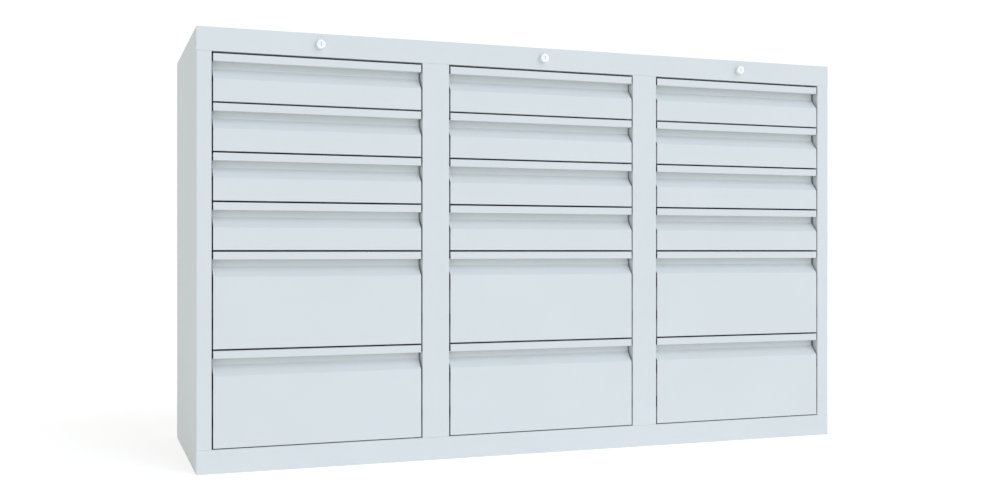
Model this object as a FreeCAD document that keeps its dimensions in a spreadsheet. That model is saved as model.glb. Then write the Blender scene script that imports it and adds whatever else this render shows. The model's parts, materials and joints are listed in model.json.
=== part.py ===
import FreeCAD, Part
import os
import Sketcher

# Steel drawer cabinet: three bays of six drawers behind one welded sheet-metal carcass.
# Millimetres. +Z is up, the front faces -Y, and the origin is the centre of the footprint on the floor.
# Each bay holds four shallow and two deep drawers on roller runners and has its own central lock:
# a plug in the top rail turns a shaft, whose crank lifts a hooked bar behind the drawers.

doc = FreeCAD.newDocument("DrawerCabinet")
sheet = doc.addObject("Spreadsheet::Sheet", "Sizes")

SIZES = [
    # carcass
    ("cabinet_width", 1500, "outer width"),
    ("cabinet_depth", 500, "front plane to the outside of the back sheet"),
    ("cabinet_height", 900, "floor to the top sheet"),
    ("sheet", 1, "sheet of the carcass and the drawer fronts"),
    ("bay_pitch", 500, "centre to centre of the bays"),
    ("opening_width", 440.4, "clear width between the stiles"),
    ("rail_height", 48.4, "front flange of the top panel"),
    ("plinth_height", 48.8, "front flange of the bottom panel"),
    ("seam_gap", 0.06, "hairline between a stile's end and the rail or plinth"),
    ("return_depth", 20, "jambs, rail and plinth returns"),
    ("return_gap", 2, "between a return and the parts behind it"),
    ("rear_return", 20, "rear and base flanges of the side panels"),
    ("partition_lip", 12, "rear lips of a partition"),
    ("back_inset", 2, "back sheet to the outer edges"),
    ("post_width", 40, "runner post, front to back"),
    ("post_sheet", 1.5, "runner post and base channel sheet"),
    ("post_length", 797, "runner post height"),
    ("post_front_y", 26, "front post behind the front plane"),
    ("post_rear_y", 396, "rear post behind the front plane"),
    ("base_channel_width", 40, "channel under each partition"),
    # drawer pitches and fronts
    ("stack_top", 850, "pitch line over the top drawers"),
    ("pitch_shallow", 100, "shallow drawer pitch"),
    ("pitch_deep", 200, "deep drawer pitch"),
    ("front_width", 434, "drawer front"),
    ("front_gap_below", 0.9, "pitch line to the front's lower edge"),
    ("front_gap_above", 2.6, "pitch line to the front's upper edge"),
    ("recess_depth", 20, "pull channel, front plane to its back wall"),
    ("lip_low", 18.2, "pitch top to the underside of the pull lip"),
    ("recess_low", 32, "pitch top to the top of the slope"),
    ("slope_low", 54, "pitch top to the foot of the slope"),
    ("slope_shift", 0.39, "how far the folds of the sheet's rear face sit below the front face's"),
    ("lip_hem", 8, "hem turned down behind the pull lip"),
    ("side_flange_depth", 20, "side returns of a front"),
    ("side_flange_top", 58, "pitch top to the top of a side return"),
    ("fold_radius", 0.9, "outer radius of a sharp fold"),
    ("valley_radius", 3, "pull channel, back wall to slope"),
    ("crest_radius", 6, "pull channel, slope to flat"),
    ("edge_radius", 0.8, "side folds of a front"),
    ("notch_height", 22, "notches in the side returns of a deep front"),
    ("notch_upper", 62, "pitch top to the upper notch"),
    ("notch_lower", 137.5, "pitch top to the lower notch"),
    # drawer trays
    ("tray_sheet", 0.8, "tray sheet"),
    ("tray_width", 415, "over the side walls"),
    ("tray_start", 21, "front plane to the tray"),
    ("tray_length", 420, "tray, front to back"),
    ("tray_floor", 5, "pitch line to the tray's underside"),
    ("rim_shallow", 80, "pitch line to the rim of a shallow tray"),
    ("rim_deep", 175, "pitch line to the rim of a deep tray"),
    ("track_width", 10, "running flange turned out of a tray's rim"),
    ("tray_fold", 1, "inner radius of the tray's folds"),
    # runners
    ("runner_width", 11, "channel, web to flange edge"),
    ("runner_sheet", 1.2, "channel sheet"),
    ("runner_height", 25.2, "channel height"),
    ("runner_drop", 23, "tray rim to the underside of the channel"),
    ("runner_start", 24, "front plane to the channel"),
    ("runner_length", 416, "channel length"),
    ("stop_y", 86, "front plane to the pressed stop that ends a drawer's travel"),
    ("stop_length", 3, "pressed stop"),
    ("stop_height", 5, "pressed stop above the lower flange"),
    ("stop_width", 7, "pressed stop"),
    ("end_tab", 12, "tab turned up at the channel's rear end"),
    ("roller_radius", 10, "nylon rollers"),
    ("roller_hub", 4, "hub of a roller where it meets its wall"),
    ("roller_stand", 1, "hub length"),
    ("roller_width", 7.5, "running width"),
    ("roller_chamfer", 0.5, "outer edge"),
    ("fixed_roller_inset", 14, "channel's front end to its roller"),
    ("fixed_roller_drop", 11.1, "tray rim to the centre of the channel's roller"),
    ("tray_roller_inset", 13, "tray's rear end to its roller"),
    ("tray_roller_drop", 11.5, "tray rim to the centre of the tray's roller"),
    # catches behind the trays
    ("catch_width", 24, "catch plate"),
    ("catch_sheet", 2, "catch sheet"),
    ("catch_reach", 30, "rear wall to the outside of the lip"),
    ("catch_level", 64, "pitch line to the underside of the catch"),
    ("catch_lip", 14, "lip below the catch"),
    ("catch_foot", 12, "foot on the tray's rear wall, above the catch"),
    # locks
    ("lock_height", 877.4, "lock axis above the floor"),
    ("barrel_radius", 9.4, "lock head"),
    ("barrel_proud", 8.5, "lock head in front of the rail"),
    ("barrel_chamfer", 1.2, "lock head's edge"),
    ("shank_radius", 7.9, "threaded shank"),
    ("shank_length", 22, "shank behind the front plane"),
    ("plug_bore", 6.08, "bore of the barrel"),
    ("plug_radius", 6, "turning plug"),
    ("plug_proud", 0.3, "plug in front of the head"),
    ("plug_collar", 7, "collar behind the barrel"),
    ("collar_sheet", 1.5, "collar thickness"),
    ("keyway_width", 2.2, "keyway"),
    ("keyway_height", 7.6, "keyway"),
    ("keyway_depth", 1.2, "keyway, down to its dust shutter"),
    ("rail_hole", 8.1, "hole radius in the rail"),
    ("nut_radius", 12.7, "across the corners, half"),
    ("nut_hole", 7.95, "nut bore radius"),
    ("nut_thick", 5, "nut"),
    ("shaft_radius", 4, "lock shaft"),
    ("tang", 6, "square end of the shaft"),
    ("tang_length", 7.8, "square end of the shaft"),
    ("socket", 6.1, "square socket of the plug"),
    ("socket_depth", 8, "square socket of the plug"),
    ("crank_y", 476, "front plane to the crank"),
    ("crank_sheet", 4, "crank thickness"),
    ("crank_hub", 7, "crank hub radius"),
    ("crank_eye", 5, "crank end radius"),
    ("crank_throw", 12, "shaft axis to pin"),
    ("pin_radius", 2.5, "crank pin"),
    ("pin_length", 10, "crank pin"),
    # locking bars
    ("bar_side", 10.25, "lock axis to the bar's middle"),
    ("bar_width", 20, "bar"),
    ("bar_sheet", 3, "bar"),
    ("bar_y", 484, "front plane to the bar"),
    ("bar_foot", 65, "bar's lower end"),
    ("bar_head", 880, "bar's upper end"),
    ("slot_width", 9.2, "slot for the crank pin"),
    ("slot_height", 6.6, "slot for the crank pin"),
    ("hook_width", 5, "hook thickness"),
    ("hook_reach", 22, "hook in front of the bar"),
    ("hook_nose", 5, "hook nose, front to back"),
    ("hook_low", 25, "pitch line to the hook's underside"),
    ("hook_arm", 6, "height of the hook's arm"),
    ("hook_top", 45.5, "pitch line to the hook's tip"),
    # brackets of the lock gear
    ("bearing_y", 468, "front plane to the shaft bearing"),
    ("bearing_sheet", 3, "shaft bearing"),
    ("bearing_width", 30, "shaft bearing"),
    ("bearing_drop", 37, "shaft bearing below the top sheet"),
    ("bearing_foot", 27, "foot under the top sheet"),
    ("bearing_hole", 4.05, "shaft bearing"),
    ("guide_sheet", 2, "bar guide"),
    ("guide_width", 36, "bar guide"),
    ("guide_reach", 20, "bar guide in front of the back sheet"),
    ("guide_leg", 15, "leg of a guide on the back sheet"),
    ("guide_clear", 0.3, "bar to guide, each side"),
]

values = {}
for row, (name, value, note) in enumerate(SIZES, start=1):
    sheet.set("A%d" % row, note)
    sheet.set("B%d" % row, "%.7g" % value)
    sheet.setAlias("B%d" % row, name)
    values[name] = float(value)
doc.recompute()


class Dim:
    """A size with the expression that gives it, so that an object gets both."""

    def __init__(self, value, text):
        self.value, self.text = float(value), text

    def __add__(self, other):
        other = dim(other)
        return Dim(self.value + other.value, "%s + %s" % (self.text, other.text))

    def __radd__(self, other):
        return dim(other) + self

    def __sub__(self, other):
        other = dim(other)
        return Dim(self.value - other.value, "%s - (%s)" % (self.text, other.text))

    def __rsub__(self, other):
        return dim(other) - self

    def __mul__(self, other):
        other = dim(other)
        return Dim(self.value * other.value, "(%s) * (%s)" % (self.text, other.text))

    __rmul__ = __mul__

    def __truediv__(self, other):
        other = dim(other)
        return Dim(self.value / other.value, "(%s) / (%s)" % (self.text, other.text))

    def __neg__(self):
        return Dim(-self.value, "-1 * (%s)" % self.text)


def dim(x):
    return x if isinstance(x, Dim) else Dim(x, "%.7g" % x)


def size(name):
    return Dim(values[name], "Sizes." + name)


W, D, H = size("cabinet_width"), size("cabinet_depth"), size("cabinet_height")
T = size("sheet")
RETURN = size("return_depth")
STILE = (size("bay_pitch") - size("opening_width")) / 2
HALF_OPENING = size("opening_width") / 2
FRONT_Y = -D / 2
SIN_45 = 0.7071068
CRANK_SIDE = size("crank_throw") * SIN_45  # the throw at 45 degrees, sideways or down


def bind(obj, prop, x):
    """Sets a property and, where it comes from the sheet, its expression."""
    x = dim(x)
    setattr(obj, prop, x.value)
    if "Sizes." in x.text:
        obj.setExpression(prop, x.text)


def place(obj, x, y, z, rotation=None):
    x, y, z = dim(x), dim(y), dim(z)
    obj.Placement = FreeCAD.Placement(
        FreeCAD.Vector(x.value, y.value, z.value), rotation or FreeCAD.Rotation()
    )
    for axis, value in (("x", x), ("y", y), ("z", z)):
        if "Sizes." in value.text:
            obj.setExpression(".Placement.Base." + axis, value.text)
    return obj


def new(kind, label):
    obj = doc.addObject(kind, label)
    obj.Label = label
    return obj


def body(label, x, y, z):
    return place(new("PartDesign::Body", label), x, y, z)


def sketch(owner, plane, label, loops, offset=0):
    """Closed outlines on one of the body's own planes. A loop is a list of corners, or (x, y, radius) for a circle."""
    sk = owner.newObject("Sketcher::SketchObject", label)
    base = [o for o in owner.Origin.OriginFeatures if o.Role == plane][0]
    sk.AttachmentSupport = [(base, "")]
    sk.MapMode = "FlatFace"
    offset = dim(offset)
    if offset.value:
        sk.AttachmentOffset = FreeCAD.Placement(
            FreeCAD.Vector(0, 0, offset.value), FreeCAD.Rotation()
        )
        if "Sizes." in offset.text:
            sk.setExpression(".AttachmentOffset.Base.z", offset.text)
    lines, ties, bound = [], [], []

    def tie(kind, geo, pos, x):
        x = dim(x)
        if abs(x.value) < 1e-9:
            ties.append(Sketcher.Constraint("PointOnObject", geo, pos, -2 if kind == "DistanceX" else -1))
        else:
            bound.append((Sketcher.Constraint(kind, -1, 1, geo, pos, x.value), x.text))

    for loop in loops:
        first = len(lines)
        if isinstance(loop, tuple):
            cx, cy, r = (dim(v) for v in loop)
            lines.append(
                Part.Circle(FreeCAD.Vector(cx.value, cy.value, 0), FreeCAD.Vector(0, 0, 1), r.value)
            )
            tie("DistanceX", first, 3, cx)
            tie("DistanceY", first, 3, cy)
            bound.append((Sketcher.Constraint("Radius", first, r.value), r.text))
            continue
        corners = [(dim(x), dim(y)) for x, y in loop]
        for i, (x, y) in enumerate(corners):
            nx, ny = corners[(i + 1) % len(corners)]
            lines.append(
                Part.LineSegment(
                    FreeCAD.Vector(x.value, y.value, 0), FreeCAD.Vector(nx.value, ny.value, 0)
                )
            )
            ties.append(
                Sketcher.Constraint("Coincident", first + i, 2, first + (i + 1) % len(corners), 1)
            )
            tie("DistanceX", first + i, 1, x)
            tie("DistanceY", first + i, 1, y)
    sk.addGeometry(lines, False)
    sk.addConstraint(ties)
    start = sk.ConstraintCount
    sk.addConstraint([c for c, _ in bound])
    for i, (_, text) in enumerate(bound):
        if "Sizes." in text:
            sk.renameConstraint(start + i, "d%d" % i)
            sk.setExpression("Constraints.d%d" % i, text)
    return sk


def pad(owner, sk, label, length, back=False, middle=False):
    p = owner.newObject("PartDesign::Pad", label)
    p.Profile = sk
    p.SideType = "Symmetric" if middle else "One side"
    p.Reversed = back
    bind(p, "Length", length)
    return p


def pocket(owner, sk, label, length, back=False, middle=False):
    p = owner.newObject("PartDesign::Pocket", label)
    p.Profile = sk
    p.SideType = "Symmetric" if middle else "One side"
    p.Reversed = back
    bind(p, "Length", length)
    return p


def edges(shape, **at):
    """Names of the straight edges that lie at these coordinates, such as x=3, z=0."""
    at = {k: dim(v).value for k, v in at.items()}
    found = []
    for i, e in enumerate(shape.Edges, start=1):
        if e.Curve.TypeId == "Part::GeomLine" and all(
            abs(getattr(v.Point, k) - x) < 1e-4 for v in e.Vertexes for k, x in at.items()
        ):
            found.append("Edge%d" % i)
    return found


def fillet(owner, base, label, radius, *places):
    """Rounds the folds that run through these places."""
    doc.recompute()
    names = sorted({n for at in places for n in edges(base.Shape, **at)})
    if len(names) < len(places):
        raise RuntimeError("%s: a fold was not found" % label)
    f = owner.newObject("PartDesign::Fillet", label)
    f.Base = (base, names)
    bind(f, "Radius", radius)
    return f


def box(label, x, y, z, dx, dy, dz):
    b = place(new("Part::Box", label), x, y, z)
    bind(b, "Length", dx)
    bind(b, "Width", dy)
    bind(b, "Height", dz)
    return b


def cut(label, base, tool):
    c = new("Part::Cut", label)
    c.Base, c.Tool, c.Refine = base, tool, True
    return c


def fuse(label, shapes):
    f = new("Part::MultiFuse", label)
    f.Shapes, f.Refine = shapes, True
    return f


def group(label, links):
    g = new("Part::Compound", label)
    g.Links = links
    return g


ALONG_Y = FreeCAD.Rotation(FreeCAD.Vector(1, 0, 0), -90)


def cylinder(label, x, y, z, radius, height, rotation=ALONG_Y):
    c = place(new("Part::Cylinder", label), x, y, z, rotation)
    bind(c, "Radius", radius)
    bind(c, "Height", height)
    return c


def cone(label, x, y, z, r1, r2, height, rotation):
    c = place(new("Part::Cone", label), x, y, z, rotation)
    bind(c, "Radius1", r1)
    bind(c, "Radius2", r2)
    bind(c, "Height", height)
    return c


parts = []  # (node, object)


def keep(obj):
    parts.append(obj)
    return obj


# ---------------------------------------------------------------- carcass


def side_panel(name, side):
    """Outer wall with the front stile and jamb folded out of its front edge, a rear flange and a base flange.
    Local origin: the outer corner of the front plane on the floor. Inward is s."""
    s = -side
    b = body(name, side * W / 2, FRONT_Y, 0)
    rear, lip = D - T, size("rear_return")
    low = size("plinth_height") + size("seam_gap")
    high = H - size("rail_height") - size("seam_gap")
    folded = [
        (0, 0), (s * STILE, 0), (s * STILE, RETURN), (s * (STILE - T), RETURN),
        (s * (STILE - T), T), (s * T, T), (s * T, rear - T), (s * lip, rear - T),
        (s * lip, rear), (0, rear),
    ]
    pad(b, sketch(b, "XY_Plane", name + "_stile_outline", [folded], low), name + "_stile", high - low)
    wall = [(0, T), (s * T, T), (s * T, rear - T), (s * lip, rear - T), (s * lip, rear), (0, rear)]
    pad(b, sketch(b, "XY_Plane", name + "_wall_outline", [wall]), name + "_wall", H - T)
    base = [
        (0, RETURN + size("return_gap")), (s * lip, RETURN + size("return_gap")),
        (s * lip, rear - T), (0, rear - T),
    ]
    p = pad(b, sketch(b, "XY_Plane", name + "_base_outline", [base]), name + "_base", T)
    fillet(
        b, p, name + "_folds", size("fold_radius"),
        dict(x=0, y=0), dict(x=s * STILE, y=0), dict(x=0, y=rear),
    )
    return keep(b)


side_panel("side_panel_left", -1)
side_panel("side_panel_right", 1)


def partition(name, at):
    """Hollow post between two bays: the wide stile with both webs folded back from it, and two lips at the rear."""
    b = body(name, at * size("bay_pitch") / 2, FRONT_Y, 0)
    rear, lip = D - T, size("partition_lip")
    low = size("plinth_height") + size("seam_gap")
    high = H - size("rail_height") - size("seam_gap")
    section = [
        (-STILE, 0), (STILE, 0), (STILE, rear), (STILE - lip, rear), (STILE - lip, rear - T),
        (STILE - T, rear - T), (STILE - T, T), (-STILE + T, T), (-STILE + T, rear - T),
        (-STILE + lip, rear - T), (-STILE + lip, rear), (-STILE, rear),
    ]
    pad(b, sketch(b, "XY_Plane", name + "_outline", [section], low), name + "_stile", high - low)
    start = RETURN + size("return_gap")
    webs = [
        [(s * (STILE - T), start), (s * STILE, start), (s * STILE, rear - T), (s * (STILE - T), rear - T)]
        for s in (-1, 1)
    ]
    p = pad(b, sketch(b, "XY_Plane", name + "_web_outline", webs, high), name + "_webs", H - T - high)
    fillet(b, p, name + "_folds", size("fold_radius"), dict(x=-STILE, y=0), dict(x=STILE, y=0))
    return keep(b)


partition("partition_left", -1)
partition("partition_right", 1)


def top_panel():
    """Top sheet with the front rail folded down, its inward return, a rear flange and the lock holes.
    Local origin: the middle of the top front edge."""
    name = "top_panel"
    b = body(name, 0, FRONT_Y, H)
    rail = size("rail_height")
    section = [(0, -rail), (T, -rail), (T, -T), (D - T, -T), (D - T, 0), (0, 0)]
    pad(b, sketch(b, "YZ_Plane", name + "_outline", [section]), name + "_sheet", W, middle=True)
    half = W / 2 - T
    pad(
        b,
        sketch(b, "XY_Plane", name + "_return_outline", [[(-half, 0), (half, 0), (half, RETURN), (-half, RETURN)]], -rail),
        name + "_return", T,
    )
    half = W / 2 - size("rear_return") - 0.5
    flange = [(-half, D - 2 * T), (half, D - 2 * T), (half, D - T), (-half, D - T)]
    p = pad(
        b,
        sketch(b, "XY_Plane", name + "_rear_outline", [flange], -T - size("rear_return")),
        name + "_rear", size("rear_return"),
    )
    f = fillet(b, p, name + "_folds", size("fold_radius"), dict(y=0, z=0), dict(y=0, z=-rail), dict(y=D - T, z=0))
    z = size("lock_height") - H
    holes = [(i * size("bay_pitch"), z, size("rail_hole")) for i in (-1, 0, 1)]
    pocket(b, sketch(b, "XZ_Plane", name + "_hole_outline", holes), name + "_holes", T * 3)
    return keep(b)


top_panel()


def bottom_panel():
    """Cabinet floor with the plinth folded down in front, its inward return and a rear flange."""
    name = "bottom_panel"
    b = body(name, 0, FRONT_Y, 0)
    plinth = size("plinth_height")
    pad(
        b,
        sketch(b, "YZ_Plane", name + "_plinth_outline", [[(0, 0), (T, 0), (T, plinth), (0, plinth)]]),
        name + "_plinth", W, middle=True,
    )
    half = W / 2 - T
    rear = W / 2 - size("rear_return") - 0.5
    floor = [
        (-half, 0), (half, 0), (half, D - 2 * T), (rear, D - 2 * T), (rear, D - T),
        (-rear, D - T), (-rear, D - 2 * T), (-half, D - 2 * T),
    ]
    pad(
        b,
        sketch(b, "XY_Plane", name + "_floor_outline", [floor], plinth - T),
        name + "_floor", T,
    )
    pad(
        b,
        sketch(b, "XY_Plane", name + "_return_outline", [[(-half, 0), (half, 0), (half, RETURN), (-half, RETURN)]]),
        name + "_return", T,
    )
    flange = [(-rear, D - 2 * T), (rear, D - 2 * T), (rear, D - T), (-rear, D - T)]
    p = pad(b, sketch(b, "XY_Plane", name + "_rear_outline", [flange]), name + "_rear", plinth)
    fillet(b, p, name + "_folds", size("fold_radius"), dict(y=0, z=plinth), dict(y=0, z=0))
    return keep(b)


bottom_panel()

inset = size("back_inset")
keep(box("back_panel", -W / 2 + inset, D / 2 - T, inset, W - 2 * inset, T, H - 2 * inset))


def posts(name, side):
    """Two channels between the side wall and the runners, so that the runners stand level with the jamb."""
    s, pt, pw = -side, size("post_sheet"), size("post_width")
    made = []
    for where in ("front", "rear"):
        label = "post_%s_%s" % (where, name)
        b = body(label, side * W / 2, FRONT_Y + size("post_%s_y" % where), size("plinth_height"))
        section = [
            (s * T, 0), (s * STILE, 0), (s * STILE, pw), (s * T, pw), (s * T, pw - pt),
            (s * (STILE - pt), pw - pt), (s * (STILE - pt), pt), (s * T, pt),
        ]
        pad(b, sketch(b, "XY_Plane", label + "_outline", [section]), label + "_pad", size("post_length"))
        made.append(b)
    return keep(group("runner_posts_" + name, made))


posts("left", -1)
posts("right", 1)


def base_channels():
    """One channel on the floor under each partition. It carries the partition's load through the cabinet floor."""
    wide, pt = size("base_channel_width"), size("post_sheet")
    start = FRONT_Y + RETURN + size("return_gap")
    length = D - 2 * T - RETURN - size("return_gap")
    high = size("plinth_height") - T
    made = []
    for name, at in (("left", -1), ("right", 1)):
        x = at * size("bay_pitch") / 2 - wide / 2
        outer = box("base_outer_" + name, x, start, 0, wide, length, high)
        inner = box("base_inner_" + name, x + pt, start, pt, wide - 2 * pt, length, high)
        made.append(cut("base_channel_" + name, outer, inner))
    return keep(group("base_channels", made))


base_channels()

# ---------------------------------------------------------------- bays and drawers

BAYS = [("left", -1), ("middle", 0), ("right", 1)]
SHALLOW, DEEP = size("pitch_shallow"), size("pitch_deep")
TOP = size("stack_top")
# row, pitch line under the drawer, pitch, is it deep
ROWS = [
    (1, TOP - SHALLOW, SHALLOW, False),
    (2, TOP - 2 * SHALLOW, SHALLOW, False),
    (3, TOP - 3 * SHALLOW, SHALLOW, False),
    (4, TOP - 4 * SHALLOW, SHALLOW, False),
    (5, TOP - 4 * SHALLOW - DEEP, DEEP, True),
    (6, TOP - 4 * SHALLOW - 2 * DEEP, DEEP, True),
]


def bay_x(at):
    return at * size("bay_pitch")


def roller(label, x, y, z, towards):
    """A nylon roller on its riveted hub, standing out of the wall at x in the direction of towards."""
    turn = FreeCAD.Rotation(FreeCAD.Vector(0, 1, 0), 90 * towards)
    hub, r = size("roller_stand"), size("roller_radius")
    wide, edge = size("roller_width"), size("roller_chamfer")
    return fuse(
        label,
        [
            cone(label + "_hub", x, y, z, size("roller_hub"), r, hub, turn),
            cylinder(label + "_tread", x + towards * hub, y, z, r, wide, turn),
            cone(label + "_edge", x + towards * (hub + wide), y, z, r, r - edge, edge, turn),
        ],
    )


def runners():
    """Fixed channels and their front rollers, two for each drawer. A stop pressed up out of the lower flange meets the
    drawer's rear roller at full travel, and a tab turned up at the rear end meets it when the drawer is home."""
    rails, rollers = [], []
    wide, ts, high = size("runner_width"), size("runner_sheet"), size("runner_height")
    length = size("runner_length")
    y = FRONT_Y + size("runner_start")
    for bay, at in BAYS:
        for row, low, pitch, deep in ROWS:
            rim = low + size("rim_deep" if deep else "rim_shallow")
            z = rim - size("runner_drop")
            for hand, s in (("l", -1), ("r", 1)):
                tag = "%s_%d%s" % (bay, row, hand)
                wall = bay_x(at) + s * HALF_OPENING
                edge = wall - s * wide
                outer = box("runner_outer_" + tag, wall if s < 0 else edge, y, z, wide, length, high)
                inner_x = wall + ts if s < 0 else edge
                inner = box("runner_inner_" + tag, inner_x, y, z + ts, wide - ts, length, high - 2 * ts)
                channel = cut("runner_channel_" + tag, outer, inner)
                sw = size("stop_width")
                stop = box(
                    "runner_stop_" + tag, edge if s > 0 else edge - sw, FRONT_Y + size("stop_y"), z + ts,
                    sw, size("stop_length"), size("stop_height"),
                )
                tab = box("runner_tab_" + tag, inner_x, y + length - ts, z + ts, wide - ts, ts, size("end_tab"))
                rails.append(fuse("runner_" + tag, [channel, stop, tab]))
                rollers.append(
                    roller(
                        "front_roller_" + tag, wall - s * ts, y + size("fixed_roller_inset"),
                        rim - size("fixed_roller_drop"), -s,
                    )
                )
    keep(group("cabinet_runners", rails))
    keep(group("cabinet_rollers", rollers))


runners()


def drawer_front(bay, at, row, low, pitch, deep):
    """One folded sheet: pull lip with its hem, pull channel, slope, flat front and bottom return, with side returns
    beside the flat. Local origin: bay centre, front plane, pitch line under the drawer."""
    name = "drawer_%s_%d_front" % (bay, row)
    b = body(name, bay_x(at), FRONT_Y, low)
    top = pitch - size("front_gap_above")
    bottom = size("front_gap_below")
    lip, back = pitch - size("lip_low"), size("recess_depth")
    valley, crest = pitch - size("recess_low"), pitch - size("slope_low")
    shift, hem = size("slope_shift"), size("lip_hem")
    section = [
        (0, bottom), (0, crest), (back, valley), (back, lip), (0, lip), (0, top),
        (back + T, top), (back + T, top - hem), (back, top - hem), (back, top - T), (T, top - T),
        (T, lip + T), (back + T, lip + T), (back + T, valley - shift), (T, crest - shift),
        (T, bottom + T), (back, bottom + T), (back, bottom),
    ]
    p = pad(b, sketch(b, "YZ_Plane", name + "_outline", [section]), name + "_sheet", size("front_width"), middle=True)
    f = fillet(
        b, p, name + "_folds", size("fold_radius"),
        dict(y=0, z=bottom), dict(y=0, z=lip), dict(y=0, z=top), dict(y=back + T, z=top), dict(y=back + T, z=lip + T),
    )
    f = fillet(b, f, name + "_valley", size("valley_radius"), dict(y=back, z=valley))
    f = fillet(b, f, name + "_valley_rear", size("valley_radius") + T, dict(y=back + T, z=valley - shift))
    f = fillet(b, f, name + "_crest", size("crest_radius"), dict(y=0, z=crest))
    f = fillet(b, f, name + "_crest_rear", size("crest_radius") - T, dict(y=T, z=crest - shift))
    half, deep_y = size("front_width") / 2, size("side_flange_depth")
    high = pitch - size("side_flange_top")
    low_z = bottom + T / 2
    flanges = [
        [(s * (half - T), T / 2), (s * half, T / 2), (s * half, deep_y), (s * (half - T), deep_y)]
        for s in (-1, 1)
    ]
    p = pad(b, sketch(b, "XY_Plane", name + "_return_outline", flanges, low_z), name + "_returns", high - low_z)
    if deep:
        tall = size("notch_height")
        notches = []
        for key in ("notch_upper", "notch_lower"):
            z = pitch - size(key)
            notches.append([(T * 1.5, z - tall), (deep_y + 1, z - tall), (deep_y + 1, z), (T * 1.5, z)])
        pocket(
            b, sketch(b, "YZ_Plane", name + "_notch_outline", notches), name + "_notches",
            size("front_width") + 2, middle=True,
        )
    return keep(b)


def drawer_tray(bay, at, row, low, pitch, deep):
    """The drawer box: floor and sides folded from one sheet with the rims turned out as running tracks, a front and a
    rear wall, a roller at each rear corner, and the catch that the locking bar hooks."""
    name = "drawer_%s_%d_tray" % (bay, row)
    rim = size("rim_deep" if deep else "rim_shallow")
    tt, half, track = size("tray_sheet"), size("tray_width") / 2, size("track_width")
    floor, start, length = size("tray_floor"), size("tray_start"), size("tray_length")
    box_name = name + "_box"
    b = body(box_name, bay_x(at), FRONT_Y, low)
    section = [
        (-half - track, rim - tt), (-half, rim - tt), (-half, floor), (half, floor), (half, rim - tt),
        (half + track, rim - tt), (half + track, rim), (half - tt, rim), (half - tt, floor + tt),
        (-half + tt, floor + tt), (-half + tt, rim), (-half - track, rim),
    ]
    # the plane's normal points at the front, so the tray is padded backwards from a negative offset
    p = pad(b, sketch(b, "XZ_Plane", box_name + "_outline", [section], -start), box_name + "_sheet", length, back=True)
    f = fillet(
        b, p, box_name + "_folds", size("tray_fold"),
        *[dict(x=s * (half - tt), z=floor + tt) for s in (-1, 1)],
        *[dict(x=s * half, z=rim - tt) for s in (-1, 1)],
    )
    f = fillet(
        b, f, box_name + "_outer_folds", size("tray_fold") + tt,
        *[dict(x=s * half, z=floor) for s in (-1, 1)],
        *[dict(x=s * (half - tt), z=rim) for s in (-1, 1)],
    )
    made = [b]
    # front and rear walls, welded in between the sides, their lower corners trimmed for the folds
    trim, across, under = size("tray_fold"), half - tt, floor + tt
    wall = [
        (-across + trim, under), (across - trim, under), (across, under + trim), (across, rim - 3),
        (-across, rim - 3), (-across, under + trim),
    ]
    for where, at_y in (("front", start), ("rear", start + length - tt)):
        label = "%s_%s_wall" % (name, where)
        w = body(label, bay_x(at), FRONT_Y + at_y, low)
        pad(w, sketch(w, "XZ_Plane", label + "_outline", [wall]), label + "_plate", tt, back=True)
        made.append(w)
    y = FRONT_Y + start + length
    for hand, s in (("l", -1), ("r", 1)):
        made.append(
            roller(
                "%s_roller_%s" % (name, hand), bay_x(at) + s * half, y - size("tray_roller_inset"),
                low + rim - size("tray_roller_drop"), s,
            )
        )
    cs, reach, level = size("catch_sheet"), size("catch_reach"), size("catch_level")
    c = body(name + "_catch", bay_x(at) - size("bar_side"), y, low)
    section = [
        (0, level), (reach - cs, level), (reach - cs, level - size("catch_lip")), (reach, level - size("catch_lip")),
        (reach, level + cs), (cs, level + cs), (cs, level + cs + size("catch_foot")), (0, level + cs + size("catch_foot")),
    ]
    pad(c, sketch(c, "YZ_Plane", name + "_catch_outline", [section]), name + "_catch_sheet", size("catch_width"), middle=True)
    made.append(c)
    return keep(group(name, made))


for bay, at in BAYS:
    for row, low, pitch, deep in ROWS:
        drawer_front(bay, at, row, low, pitch, deep)
        drawer_tray(bay, at, row, low, pitch, deep)

# ---------------------------------------------------------------- central locks


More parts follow.
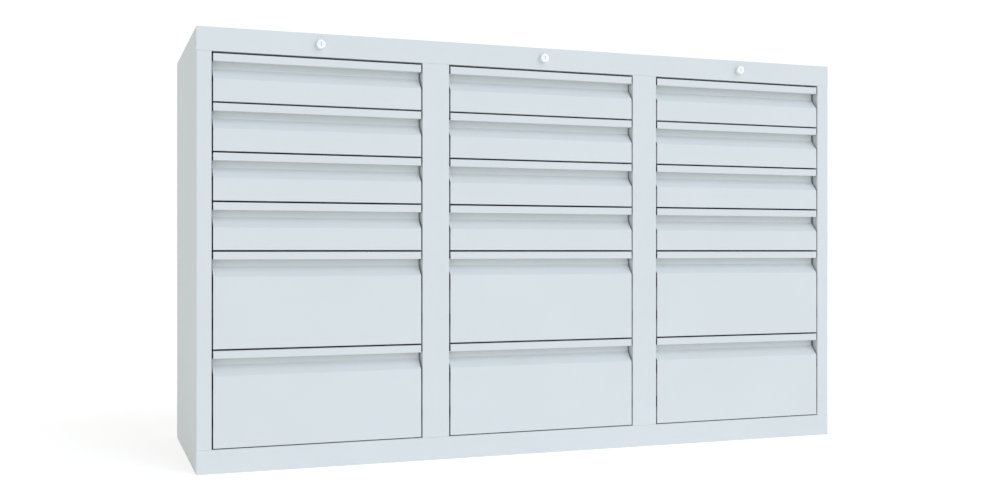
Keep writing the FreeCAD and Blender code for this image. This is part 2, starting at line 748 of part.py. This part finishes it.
def lock_parts():
    z = size("lock_height")
    barrels, nuts = [], []
    for bay, at in BAYS:
        # barrel: head in front of the rail, threaded shank through it
        label = "lock_barrel_" + bay
        b = body(label, bay_x(at), FRONT_Y, z)
        proud, edge = size("barrel_proud"), size("barrel_chamfer")
        r, shank, bore = size("barrel_radius"), size("shank_radius"), size("plug_bore")
        section = [
            (-proud, bore), (-proud, r - edge), (-proud + edge, r), (0, r), (0, shank),
            (size("shank_length"), shank), (size("shank_length"), bore),
        ]
        sk = sketch(b, "YZ_Plane", label + "_outline", [section])
        rev = b.newObject("PartDesign::Revolution", label + "_turned")
        rev.Profile = sk
        rev.ReferenceAxis = (sk, ["H_Axis"])
        rev.Angle = 360
        barrels.append(b)
        # nut behind the rail
        prism = place(new("Part::Prism", "nut_blank_" + bay), bay_x(at), FRONT_Y + T, z, ALONG_Y)
        prism.Polygon = 6
        bind(prism, "Circumradius", size("nut_radius"))
        bind(prism, "Height", size("nut_thick"))
        hole = cylinder("nut_hole_" + bay, bay_x(at), FRONT_Y + T, z, size("nut_hole"), size("nut_thick"))
        nuts.append(cut("lock_nut_" + bay, prism, hole))
        # plug with its keyway, collar and socket
        label = "lock_plug_" + bay
        b = body(label, bay_x(at), FRONT_Y, z)
        front = -size("barrel_proud") - size("plug_proud")
        pr, collar = size("plug_radius"), size("plug_collar")
        back = size("shank_length") + 0.4
        end = back + size("collar_sheet")
        section = [(front, 0), (front, pr - 0.4), (front + 0.4, pr), (back, pr), (back, collar), (end, collar), (end, 0)]
        sk = sketch(b, "YZ_Plane", label + "_outline", [section])
        rev = b.newObject("PartDesign::Revolution", label + "_turned")
        rev.Profile = sk
        rev.ReferenceAxis = (sk, ["H_Axis"])
        rev.Angle = 360
        kw, kh = size("keyway_width") / 2, size("keyway_height") / 2
        sk = sketch(b, "XZ_Plane", label + "_keyway_outline", [[(-kw, -kh), (kw, -kh), (kw, kh), (-kw, kh)]], -front)
        pocket(b, sk, label + "_keyway", size("keyway_depth"))
        sq = size("socket") / 2
        sk = sketch(b, "XZ_Plane", label + "_socket_outline", [[(-sq, -sq), (sq, -sq), (sq, sq), (-sq, sq)]], -end)
        pocket(b, sk, label + "_socket", size("socket_depth"), back=True)
        keep(b)
        # shaft, crank and crank pin; unlocked, the crank points down and to the left at 45 degrees
        label = "lock_shaft_" + bay
        x, side, cy = bay_x(at), CRANK_SIDE, FRONT_Y + size("crank_y")
        y0 = FRONT_Y + end
        tang = size("tang")
        throw = size("crank_throw")
        arm = new("Part::Box", label + "_arm")
        bind(arm, "Length", throw)
        bind(arm, "Width", size("crank_sheet"))
        bind(arm, "Height", 2 * size("crank_eye"))
        # the arm runs from the shaft's axis to the pin's, its long side turned to 225 degrees in the front view
        turn = FreeCAD.Rotation(FreeCAD.Vector(0, 1, 0), 135)
        half = size("crank_eye") * SIN_45
        place(arm, x - half, cy, z + half, turn)
        shaft = fuse(
            label,
            [
                box(label + "_tang", x - tang / 2, y0 - size("tang_length"), z - tang / 2, tang, size("tang_length"), tang),
                cylinder(label + "_rod", x, y0, z, size("shaft_radius"), cy - y0),
                cylinder(label + "_hub", x, cy, z, size("crank_hub"), size("crank_sheet")),
                arm,
                cylinder(label + "_eye", x - side, cy, z - side, size("crank_eye"), size("crank_sheet")),
                cylinder(label + "_pin", x - side, cy, z - side, size("pin_radius"), size("crank_sheet") + size("pin_length")),
            ],
        )
        keep(shaft)
    keep(group("lock_barrels", barrels))
    keep(group("lock_nuts", nuts))


lock_parts()


def locking_bar(bay, at):
    """Flat bar behind the drawers with one hook welded on for each catch. Its slot rides on the crank pin."""
    name = "locking_bar_" + bay
    x = bay_x(at) - size("bar_side")
    b = body(name + "_strip", x, FRONT_Y, 0)
    half, y = size("bar_width") / 2, size("bar_y")
    sw, sh = size("slot_width") / 2, size("slot_height") / 2
    slot_z = size("lock_height") - CRANK_SIDE
    strip = [(-half, size("bar_foot")), (half, size("bar_foot")), (half, size("bar_head")), (-half, size("bar_head"))]
    slot = [(-sw, slot_z - sh), (sw, slot_z - sh), (sw, slot_z + sh), (-sw, slot_z + sh)]
    pad(b, sketch(b, "XZ_Plane", name + "_outline", [strip, slot], -y), name + "_sheet", size("bar_sheet"), back=True)
    made = [b]
    reach, nose, arm, wide = size("hook_reach"), size("hook_nose"), size("hook_arm"), size("hook_width")
    for row, low, pitch, deep in ROWS:
        hook = "%s_hook_%d" % (name, row)
        hx, hy, hz = x - wide / 2, FRONT_Y + y - reach, low + size("hook_low")
        made.append(
            fuse(
                hook,
                [
                    box(hook + "_arm", hx, hy, hz, wide, reach, arm),
                    box(hook + "_nose", hx, hy, hz, wide, nose, size("hook_top") - size("hook_low")),
                ],
            )
        )
    return keep(group(name, made))


for bay, at in BAYS:
    locking_bar(bay, at)


def lock_brackets():
    """Rear bearing of each lock shaft, under the top sheet, and three guides for each bar, on the back sheet."""
    made = []
    bs, bw = size("bearing_sheet"), size("bearing_width")
    gs, gw, clear = size("guide_sheet"), size("guide_width"), size("guide_clear")
    back = D / 2 - T
    for bay, at in BAYS:
        x, y = bay_x(at), FRONT_Y + size("bearing_y")
        label = "shaft_bearing_" + bay
        ear = box(label + "_ear", x - bw / 2, y, H - T - size("bearing_drop"), bw, bs, size("bearing_drop"))
        foot = box(label + "_foot", x - bw / 2, y + bs - size("bearing_foot"), H - T - bs, bw, size("bearing_foot"), bs)
        hole = cylinder(label + "_hole", x, y - 1, size("lock_height"), size("bearing_hole"), bs + 2)
        made.append(cut(label, fuse(label + "_blank", [ear, foot]), hole))
        bx = x - size("bar_side")
        for n, low in enumerate((ROWS[0][1] + 85, ROWS[3][1] + 90, ROWS[5][1] + 90), start=1):
            label = "bar_guide_%s_%d" % (bay, n)
            plate = box(label + "_plate", bx - gw / 2, back - size("guide_reach"), low, gw, size("guide_reach"), gs)
            leg = box(label + "_leg", bx - gw / 2, back - gs, low - size("guide_leg"), gw, gs, size("guide_leg") + gs)
            window = box(
                label + "_window", bx - size("bar_width") / 2 - clear, FRONT_Y + size("bar_y") - clear, low - 1,
                size("bar_width") + 2 * clear, size("bar_sheet") + 2 * clear, gs + 2,
            )
            made.append(cut(label, fuse(label + "_blank", [plate, leg]), window))
    keep(group("lock_brackets", made))


lock_brackets()

# ---------------------------------------------------------------- checks and files

doc.recompute()
bad = [o.Label for o in doc.Objects if {"Invalid", "Error"} & set(o.State)]
if bad:
    raise RuntimeError("failed objects: %s" % bad)
labels = [o.Label for o in parts]
if len(set(labels)) != len(labels) or len(labels) > 60:
    raise RuntimeError("%d nodes, or a name used twice" % len(labels))
bad = [o.Label for o in parts if o.Shape.isNull() or not o.Shape.isValid() or not o.Shape.Solids]
if bad:
    raise RuntimeError("no valid shape: %s" % bad)
os.makedirs("parts", exist_ok=True)
for o in parts:
    o.Shape.exportStep("parts/%s.step" % o.Label)
    print("%-28s %d solid(s) %12.1f mm3" % (o.Label, len(o.Shape.Solids), o.Shape.Volume))
print(len(parts), "nodes")
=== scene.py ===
import json
import math
import bpy
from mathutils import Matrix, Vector

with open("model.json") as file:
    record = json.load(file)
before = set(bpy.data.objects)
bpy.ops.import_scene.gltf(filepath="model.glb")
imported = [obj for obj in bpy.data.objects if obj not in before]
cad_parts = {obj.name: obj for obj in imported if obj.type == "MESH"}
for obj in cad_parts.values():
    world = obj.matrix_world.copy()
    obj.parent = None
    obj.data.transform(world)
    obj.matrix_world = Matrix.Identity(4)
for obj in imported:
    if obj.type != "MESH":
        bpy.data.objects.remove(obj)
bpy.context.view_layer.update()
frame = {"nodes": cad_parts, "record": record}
nodes = frame["nodes"]
scene = bpy.context.scene


# ------------------------------------------------------------------ node helpers
class Tree:
    """A material and short ways to add its nodes."""

    def __init__(self, name):
        self.material = bpy.data.materials.new(name)
        self.material.use_nodes = True
        self.tree = self.material.node_tree
        self.tree.nodes.clear()
        self.out = self.add("ShaderNodeOutputMaterial")
        self.shader = self.add("ShaderNodeBsdfPrincipled")
        self.link(self.shader.outputs[0], self.out.inputs["Surface"])
        self.where = self.add("ShaderNodeTexCoord").outputs["Object"]
        parts = self.add("ShaderNodeSeparateXYZ")
        self.link(self.where, parts.inputs[0])
        self.x, self.y, self.z = parts.outputs

    def add(self, kind, **values):
        node = self.tree.nodes.new(kind)
        for key, value in values.items():
            setattr(node, key, value)
        return node

    def link(self, a, b):
        self.tree.links.new(a, b)
        return b

    def set(self, **values):
        names = {
            "base": "Base Color", "metallic": "Metallic", "roughness": "Roughness", "ior": "IOR",
            "coat": "Coat Weight", "coat_roughness": "Coat Roughness", "specular": "Specular IOR Level",
            "anisotropic": "Anisotropic", "subsurface": "Subsurface Weight", "subsurface_radius": "Subsurface Radius",
            "subsurface_scale": "Subsurface Scale",
        }
        for key, value in values.items():
            self.shader.inputs[names[key]].default_value = value

    def noise(self, scale, detail=2.0, rough=0.5, stretch=(1, 1, 1), offset=(0, 0, 0), at=None):
        m = self.add("ShaderNodeMapping")
        self.link(at or self.where, m.inputs["Vector"])
        m.inputs["Scale"].default_value = stretch
        m.inputs["Location"].default_value = offset
        n = self.add("ShaderNodeTexNoise")
        self.link(m.outputs[0], n.inputs["Vector"])
        n.inputs["Scale"].default_value = scale
        n.inputs["Detail"].default_value = detail
        n.inputs["Roughness"].default_value = rough
        return n.outputs["Fac"]

    def remap(self, value, a, b, c, d, smooth=False):
        r = self.add("ShaderNodeMapRange")
        r.interpolation_type = "SMOOTHSTEP" if smooth else "LINEAR"
        self.link(value, r.inputs["Value"])
        for key, x in (("From Min", a), ("From Max", b), ("To Min", c), ("To Max", d)):
            r.inputs[key].default_value = x
        return r.outputs["Result"]

    def maths(self, op, a, b=0.0, c=0.0):
        m = self.add("ShaderNodeMath", operation=op)
        for i, x in enumerate((a, b, c)):
            if isinstance(x, (int, float)):
                m.inputs[i].default_value = x
            else:
                self.link(x, m.inputs[i])
        return m.outputs[0]

    def apart(self, value, pitch, first):
        """Distance from the nearest of the places first, first + pitch, first + 2 pitch ..."""
        return self.maths("ABSOLUTE", self.maths("WRAP", self.maths("SUBTRACT", value, first), pitch / 2, -pitch / 2))

    def both(self, *tests):
        result = tests[0]
        for test in tests[1:]:
            result = self.maths("MULTIPLY", result, test)
        return result

    def mix(self, factor, a, b):
        m = self.add("ShaderNodeMix", data_type="RGBA")
        for socket, x in ((m.inputs[0], factor), (m.inputs[6], a), (m.inputs[7], b)):
            if isinstance(x, (int, float)):
                socket.default_value = x
            elif isinstance(x, (tuple, list)):
                socket.default_value = (*x, 1.0) if len(x) == 3 else x
            else:
                self.link(x, socket)
        return m.outputs[2]

    def blend(self, factor, a, b):
        """a where factor is 0, b where it is 1; a and b are numbers or number sockets."""
        m = self.add("ShaderNodeMix", data_type="FLOAT")
        for socket, x in ((m.inputs[0], factor), (m.inputs[2], a), (m.inputs[3], b)):
            if isinstance(x, (int, float)):
                socket.default_value = x
            else:
                self.link(x, socket)
        return m.outputs[0]

    def bump(self, *heights):
        """heights: (value, metres, strength) one after the other."""
        normal = None
        for value, metres, strength in heights:
            b = self.add("ShaderNodeBump")
            b.inputs["Strength"].default_value = strength
            b.inputs["Distance"].default_value = metres
            self.link(value, b.inputs["Height"])
            if normal is not None:
                self.link(normal, b.inputs["Normal"])
            normal = b.outputs["Normal"]
        self.link(normal, self.shader.inputs["Normal"])


# ------------------------------------------------------------------ materials
COAT = (0.590, 0.630, 0.633)
ZINC_DARK, ZINC_LIGHT = (0.47, 0.49, 0.50), (0.66, 0.68, 0.70)
NYLON_DARK, NYLON_LIGHT = (0.72, 0.71, 0.66), (0.80, 0.79, 0.75)


def scaled(colour, k):
    return tuple(min(1.0, c * k) for c in colour)


def coat_colour(t, base):
    """Colour and gloss of baked powder: the faint clouding of the film, its fine grain, and specks in it."""
    clouds, grain = t.noise(5.0, 3.0, 0.6), t.noise(900.0, 2.0, 0.5)
    colour = t.mix(t.remap(clouds, 0.3, 0.7, 0.0, 1.0), scaled(base, 0.988), scaled(base, 1.012))
    colour = t.mix(t.remap(grain, 0.42, 0.58, 0.0, 0.035), colour, scaled(base, 0.90))
    gloss = t.maths("ADD", t.remap(clouds, 0.3, 0.7, 0.48, 0.56), t.remap(grain, 0.3, 0.7, -0.03, 0.03))
    return colour, gloss, grain


def powder_coat(name, base, welds=None):
    """Sprayed and baked powder: a soft sheen and fine orange peel. welds adds the shallow dents of spot welds."""
    t = Tree(name)
    colour, gloss, grain = coat_colour(t, base)
    t.link(colour, t.shader.inputs["Base Color"])
    t.link(gloss, t.shader.inputs["Roughness"])
    t.set(ior=1.48, specular=0.26)
    heights = [(t.noise(420.0, 2.0, 0.45), 0.00006, 0.45), (grain, 0.00002, 0.35)]
    if welds:
        heights.insert(0, (welds(t), 0.00035, 1.0))
    t.bump(*heights)
    return t.material


def weld_dents(t):
    """Rows of spot welds on the back sheet: along its four edges and down the lips of both partitions."""
    def row(across, along, pitch, first):
        far = t.maths("SQRT", t.maths("ADD", t.maths("POWER", across, 2.0), t.maths("POWER", t.apart(along, pitch, first), 2.0)))
        return t.remap(far, 0.0026, 0.0036, 0.0, 1.0, smooth=True)

    side = t.maths("ABSOLUTE", t.x)
    rows = [
        row(t.maths("ABSOLUTE", t.maths("SUBTRACT", side, 0.739)), t.z, 0.0755, 0.0350),
        row(t.maths("ABSOLUTE", t.maths("SUBTRACT", side, 0.2265)), t.z, 0.0755, 0.0350),
        row(t.maths("ABSOLUTE", t.maths("SUBTRACT", side, 0.2735)), t.z, 0.0755, 0.0350),
        row(t.maths("ABSOLUTE", t.maths("SUBTRACT", t.z, 0.8885)), t.x, 0.0790, 0.0),
        row(t.maths("ABSOLUTE", t.maths("SUBTRACT", t.z, 0.0180)), t.x, 0.0790, 0.0),
    ]
    level = rows[0]
    for other in rows[1:]:
        level = t.maths("MINIMUM", level, other)
    return level


def tray_coat(name, base):
    """Coated trays, with the moulded rollers and the plated catch that the same part carries told by their places."""
    t = Tree(name)
    colour, gloss, grain = coat_colour(t, base)
    aside = t.apart(t.x, 0.5, 0.0)
    axle = t.maths("MULTIPLY_ADD", t.maths("GREATER_THAN", t.z, 0.45), 0.005, 0.0135)
    height = t.maths("ABSOLUTE", t.maths("WRAP", t.maths("SUBTRACT", t.z, axle), 0.05, -0.05))
    roller = t.both(
        t.maths("GREATER_THAN", aside, 0.2077), t.maths("GREATER_THAN", t.y, 0.1675), t.maths("LESS_THAN", height, 0.0102),
    )
    catch = t.maths("GREATER_THAN", t.y, 0.19105)
    moulded = t.mix(t.remap(t.noise(60.0, 2.0), 0.3, 0.7, 0.0, 1.0), NYLON_DARK, NYLON_LIGHT)
    patches = t.noise(35.0, 4.0, 0.62)
    plated = t.mix(t.remap(patches, 0.32, 0.68, 0.0, 1.0), ZINC_DARK, ZINC_LIGHT)
    t.link(t.mix(catch, t.mix(roller, colour, moulded), plated), t.shader.inputs["Base Color"])
    t.link(catch, t.shader.inputs["Metallic"])
    t.link(t.blend(catch, t.blend(roller, gloss, 0.42), t.remap(patches, 0.3, 0.7, 0.26, 0.42)), t.shader.inputs["Roughness"])
    t.set(ior=1.48, specular=0.26)
    t.bump((t.noise(420.0, 2.0, 0.45), 0.00005, 0.4), (grain, 0.00002, 0.35))
    return t.material


def zinc(name, along=(1, 1, 1)):
    """Bright zinc plate over rolled steel: cool grey, drawn along the rolling direction, with a patchy lustre."""
    t = Tree(name)
    drawn = t.noise(140.0, 3.0, 0.6, stretch=along)
    patches = t.noise(35.0, 4.0, 0.62)
    colour = t.mix(t.remap(patches, 0.32, 0.68, 0.0, 1.0), ZINC_DARK, ZINC_LIGHT)
    t.link(t.mix(t.remap(drawn, 0.35, 0.65, 0.0, 0.3), colour, (0.40, 0.42, 0.44)), t.shader.inputs["Base Color"])
    t.set(metallic=1.0)
    t.link(t.maths("ADD", t.remap(patches, 0.3, 0.7, 0.26, 0.42), t.remap(drawn, 0.3, 0.7, -0.05, 0.05)), t.shader.inputs["Roughness"])
    t.bump((drawn, 0.00003, 0.35), (patches, 0.00002, 0.2))
    return t.material


def nylon():
    """Moulded nylon: off-white, slightly waxy, with the fine haze of the mould."""
    t = Tree("nylon")
    clouds = t.noise(60.0, 2.0)
    t.link(t.mix(t.remap(clouds, 0.3, 0.7, 0.0, 1.0), NYLON_DARK, NYLON_LIGHT), t.shader.inputs["Base Color"])
    t.link(t.remap(t.noise(500.0, 2.0), 0.3, 0.7, 0.36, 0.5), t.shader.inputs["Roughness"])
    t.set(subsurface=0.08, subsurface_scale=0.002)
    t.bump((t.noise(1200.0, 2.0), 0.00001, 0.4))
    return t.material


def nickel(name, shine, rough, axis_z):
    """Pearl nickel plate, blasted almost matt, with the faint rings of turning round the lock's axis."""
    t = Tree(name)
    aside = t.apart(t.x, 0.5, 0.0)
    up = t.maths("SUBTRACT", t.z, axis_z)
    radius = t.maths("SQRT", t.maths("ADD", t.maths("POWER", aside, 2.0), t.maths("POWER", up, 2.0)))
    ring = t.add("ShaderNodeCombineXYZ")
    t.link(radius, ring.inputs[0])
    t.link(t.maths("MULTIPLY", t.y, 0.02), ring.inputs[1])
    turned = t.noise(2600.0, 2.0, 0.5, at=ring.outputs[0])
    haze = t.noise(220.0, 3.0, 0.6)
    t.link(t.mix(t.remap(haze, 0.3, 0.7, 0.0, 1.0), scaled(shine, 0.96), shine), t.shader.inputs["Base Color"])
    t.link(t.maths("ADD", t.remap(haze, 0.3, 0.7, rough - 0.04, rough + 0.04), t.remap(turned, 0.3, 0.7, -0.03, 0.03)), t.shader.inputs["Roughness"])
    t.set(metallic=0.25, specular=0.6)
    t.bump((turned, 0.000004, 0.3))
    return t.material


LOCK_Z = 0.8774
materials = {
    "powder_coat": powder_coat("powder_coat", COAT),
    "drawer_coat": tray_coat("drawer_coat", scaled(COAT, 0.97)),
    "zinc_steel": zinc("zinc_steel", (8, 0.35, 8)),
    "nylon": nylon(),
    "lock_chrome": nickel("lock_chrome", (0.84, 0.875, 0.86), 0.55, LOCK_Z),
}
plug = nickel("lock_plug", (0.74, 0.775, 0.76), 0.40, LOCK_Z)
upright = zinc("zinc_upright", (8, 8, 0.35))
own = {
    "back_panel": powder_coat("back_coat", COAT, welds=weld_dents),
    "runner_posts_left": upright, "runner_posts_right": upright, "lock_brackets": upright,
    "lock_plug_left": plug, "lock_plug_middle": plug, "lock_plug_right": plug,
    "locking_bar_left": upright, "locking_bar_middle": upright, "locking_bar_right": upright,
}

slot_of = {s["node"]: s["material_slot"] for s in frame["record"]["subparts"]}
for name, o in nodes.items():
    o.data.materials.clear()
    o.data.materials.append(own.get(name) or materials[slot_of[name]])

# ------------------------------------------------------------------ floor, light and camera
floor_mesh = bpy.data.meshes.new("floor")
side = 45.0
floor_mesh.from_pydata([(-side, -side, 0), (side, -side, 0), (side, side, 0), (-side, side, 0)], [], [(0, 1, 2, 3)])
floor = bpy.data.objects.new("floor", floor_mesh)
scene.collection.objects.link(floor)
t = Tree("floor")
t.link(t.mix(t.remap(t.noise(1.5, 3.0), 0.3, 0.7, 0.0, 1.0), (0.54, 0.54, 0.54), (0.56, 0.56, 0.56)), t.shader.inputs["Base Color"])
t.set(roughness=0.9, specular=0.0)
t.shader.inputs["Emission Color"].default_value = (1.0, 0.992, 0.980, 1.0)
t.shader.inputs["Emission Strength"].default_value = 0.63
floor_mesh.materials.append(t.material)

# The studio is white all round the horizon, dims toward the ceiling and is darker high up on the left.
world = bpy.data.worlds.new("studio")
scene.world = world
world.use_nodes = True
sky = world.node_tree
background = sky.nodes["Background"]
background.inputs["Color"].default_value = (1.0, 1.0, 1.0, 1.0)
direction = sky.nodes.new("ShaderNodeTexCoord")
parts = sky.nodes.new("ShaderNodeSeparateXYZ")
fall = sky.nodes.new("ShaderNodeMapRange")
fall.interpolation_type = "SMOOTHSTEP"
for key, value in (("From Min", 0.24), ("From Max", 0.62), ("To Min", 1.03), ("To Max", 0.62)):
    fall.inputs[key].default_value = value
sky.links.new(direction.outputs["Generated"], parts.inputs[0])
sky.links.new(parts.outputs["Z"], fall.inputs["Value"])
shade = sky.nodes.new("ShaderNodeMapRange")
shade.interpolation_type = "SMOOTHSTEP"
for key, value in (("From Min", -0.95), ("From Max", -0.12), ("To Min", 0.66), ("To Max", 0.0)):
    shade.inputs[key].default_value = value
sky.links.new(parts.outputs["X"], shade.inputs["Value"])
above = sky.nodes.new("ShaderNodeMapRange")
above.interpolation_type = "SMOOTHSTEP"
for key, value in (("From Min", 0.20), ("From Max", 0.34), ("To Min", 0.0), ("To Max", 1.0)):
    above.inputs[key].default_value = value
sky.links.new(parts.outputs["Z"], above.inputs["Value"])


def product(a, b):
    m = sky.nodes.new("ShaderNodeMath")
    m.operation = "MULTIPLY"
    sky.links.new(a, m.inputs[0])
    sky.links.new(b, m.inputs[1])
    return m.outputs[0]


loss = product(fall.outputs["Result"], product(shade.outputs["Result"], above.outputs["Result"]))
left = sky.nodes.new("ShaderNodeMath")
left.operation = "SUBTRACT"
sky.links.new(fall.outputs["Result"], left.inputs[0])
sky.links.new(loss, left.inputs[1])
sky.links.new(left.outputs[0], background.inputs["Strength"])


def soft_sun(name, toward, strength, colour, spread):
    """A far, large and soft lamp that shines from the given direction."""
    data = bpy.data.lights.new(name, "SUN")
    data.energy = strength
    data.color = colour
    data.angle = math.radians(spread)
    o = bpy.data.objects.new(name, data)
    scene.collection.objects.link(o)
    o.rotation_euler = Vector(toward).to_track_quat("Z", "Y").to_euler()
    return o


soft_sun("key", (0.50, -0.615, 0.61), 1.54, (0.745, 0.83, 1.0), 52)

scene.view_settings.view_transform = "Standard"
scene.view_settings.look = "None"

data = bpy.data.cameras.new("camera")
data.sensor_width = 36.0
data.lens = 41.303
data.shift_y = 0.0005
data.clip_end = 100.0
camera = bpy.data.objects.new("camera", data)
scene.collection.objects.link(camera)
camera.location = (-0.9642, -2.6147, 0.450)
camera.rotation_euler = (math.radians(90), 0, math.radians(-20))
scene.camera = camera
